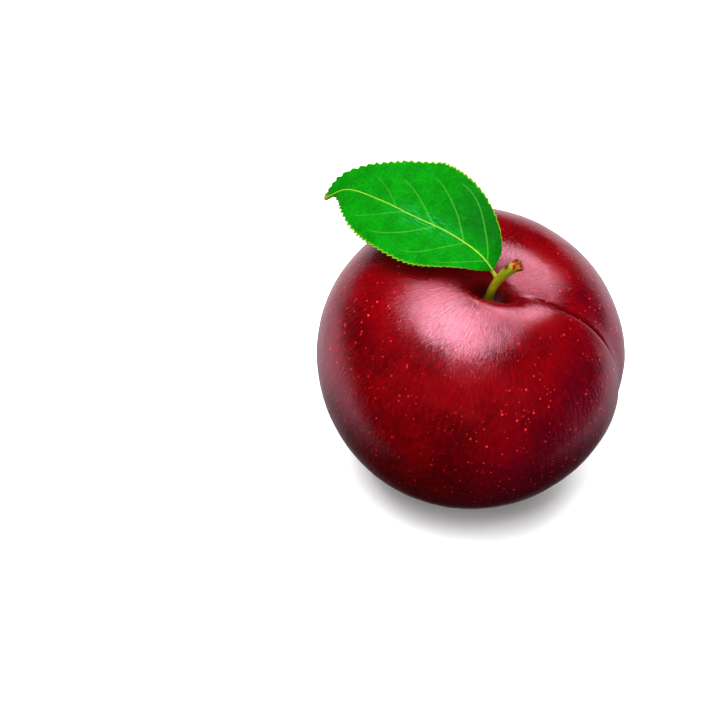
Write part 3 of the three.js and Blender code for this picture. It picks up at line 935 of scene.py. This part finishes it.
def make_floor():
    """A white floor that casts no light of its own back on to the skin"""
    corners = [(-1, -1, 0), (1, -1, 0), (1, 1, 0), (-1, 1, 0)]
    mesh = bpy.data.meshes.new("floor")
    mesh.from_pydata((np.array(corners) * FLOOR_HALF_SIDE * MM).tolist(), [], [(0, 1, 2, 3)])
    mesh.materials.append(MaterialNodes("pale_floor").finish(**FLOOR_FINISH))
    floor = bpy.data.objects.new("floor", mesh)
    floor.visible_glossy = False
    floor.visible_diffuse = False
    bpy.context.scene.collection.objects.link(floor)


def from_view(right, up, back):
    return (RIGHT * right + UP * up + BACK * back).normalized()


def make_softbox(name, direction, distance, sides, power, upward=(0, 1, 0), mirrored=True):
    """A soft light aimed at the plum, its second side along upward; one that isn't mirrored makes no
    highlight in the skin"""
    data = bpy.data.lights.new(name, "AREA")
    data.shape = "RECTANGLE"
    data.size, data.size_y = (side * MM for side in sides)
    data.energy = power
    light = bpy.data.objects.new(name, data)
    bpy.context.scene.collection.objects.link(light)
    long_side = from_view(*upward)
    long_side = (long_side - direction * long_side.dot(direction)).normalized()
    axes = Matrix((long_side.cross(direction), long_side, direction)).transposed()
    light.matrix_world = Matrix.Translation((FRUIT_CENTRE + direction * distance) * MM) @ axes.to_4x4()
    light.visible_glossy = mirrored


def make_lights():
    key, far = from_view(-0.17, 0.60, 0.78), from_view(0.38, 0.84, 0.38)
    front, low = from_view(-0.72, -0.20, 0.66), from_view(0.22, -0.34, 0.85)
    make_softbox("key_softbox", key, 2000, (1200, 1950), 74.0, upward=(-0.50, 0.68, -0.54))
    make_softbox("far_softbox", far, 2000, (950, 950), 24.0)
    make_softbox("front_fill", front, 2500, (2400, 2400), 20.0, mirrored=False)
    make_softbox("low_fill", low, 2500, (2400, 2400), 52.0, mirrored=False)
    make_softbox("overhead", Vector((0, 0, 1)), 2000, (5000, 5000), 85.0, mirrored=False)


# Surroundings: heights are of a direction's upright part, and depths of its part away from the camera
ROOM_LIGHT = 0.01
TABLE_LIGHT = 0.9
WALL_LIGHT = 0.5
WALL_TINT = (1, 0.78, 0.86, 1)
TABLE_EDGE_HEIGHTS = (-0.2, 0.15)
TABLE_DEPTH = 0.4
WALL_DEPTH = 0.7
SIDE_DEPTH = 0.3  # how much a direction to the side counts as depth
DEPTH_FADE = 0.15
SHADED_TABLE_HEIGHTS = (-0.85, -0.35)


def make_world():
    """White table and wall behind the plum and beside it, seen in the skin's edges; a dim room in front"""
    world = bpy.data.worlds.new("studio")
    world.use_nodes = True
    n = Nodes(world.node_tree)
    way = n.place("Generated")
    axes = n.axes(way)
    height = axes["Z"]
    depth = n.vector("DOT_PRODUCT", way, -BACK, output="Value")
    depth = n.math("MULTIPLY_ADD", n.math("ABSOLUTE", axes["X"]), SIDE_DEPTH, depth)
    edge = n.step(height, *TABLE_EDGE_HEIGHTS, TABLE_DEPTH, WALL_DEPTH)
    seen = n.step(depth, edge, n.math("ADD", edge, DEPTH_FADE))
    pale = n.step(height, *TABLE_EDGE_HEIGHTS, TABLE_LIGHT, WALL_LIGHT)
    clear = n.step(height, *SHADED_TABLE_HEIGHTS)
    light = n.math("MULTIPLY", n.math("MULTIPLY", seen, pale), clear)
    background = n.tree.nodes["Background"]
    n.link(n.math("ADD", light, ROOM_LIGHT), background.inputs["Strength"])
    n.link(WALL_TINT, background.inputs["Color"])
    bpy.context.scene.world = world
    bpy.context.scene.view_settings.view_transform = "Standard"


make_camera()
make_floor()
make_lights()
make_world()

make_piece("plum_fruit", fruit_mesh(), skin_material(), "fruit")
make_piece("plum_stalk", stalk_mesh(), stalk_material(), "stalk")
make_piece("plum_leaf", leaf_mesh(), leaf_material(), "leaf")


def plain(box):
    return [[float(x) for x in corner] for corner in box]
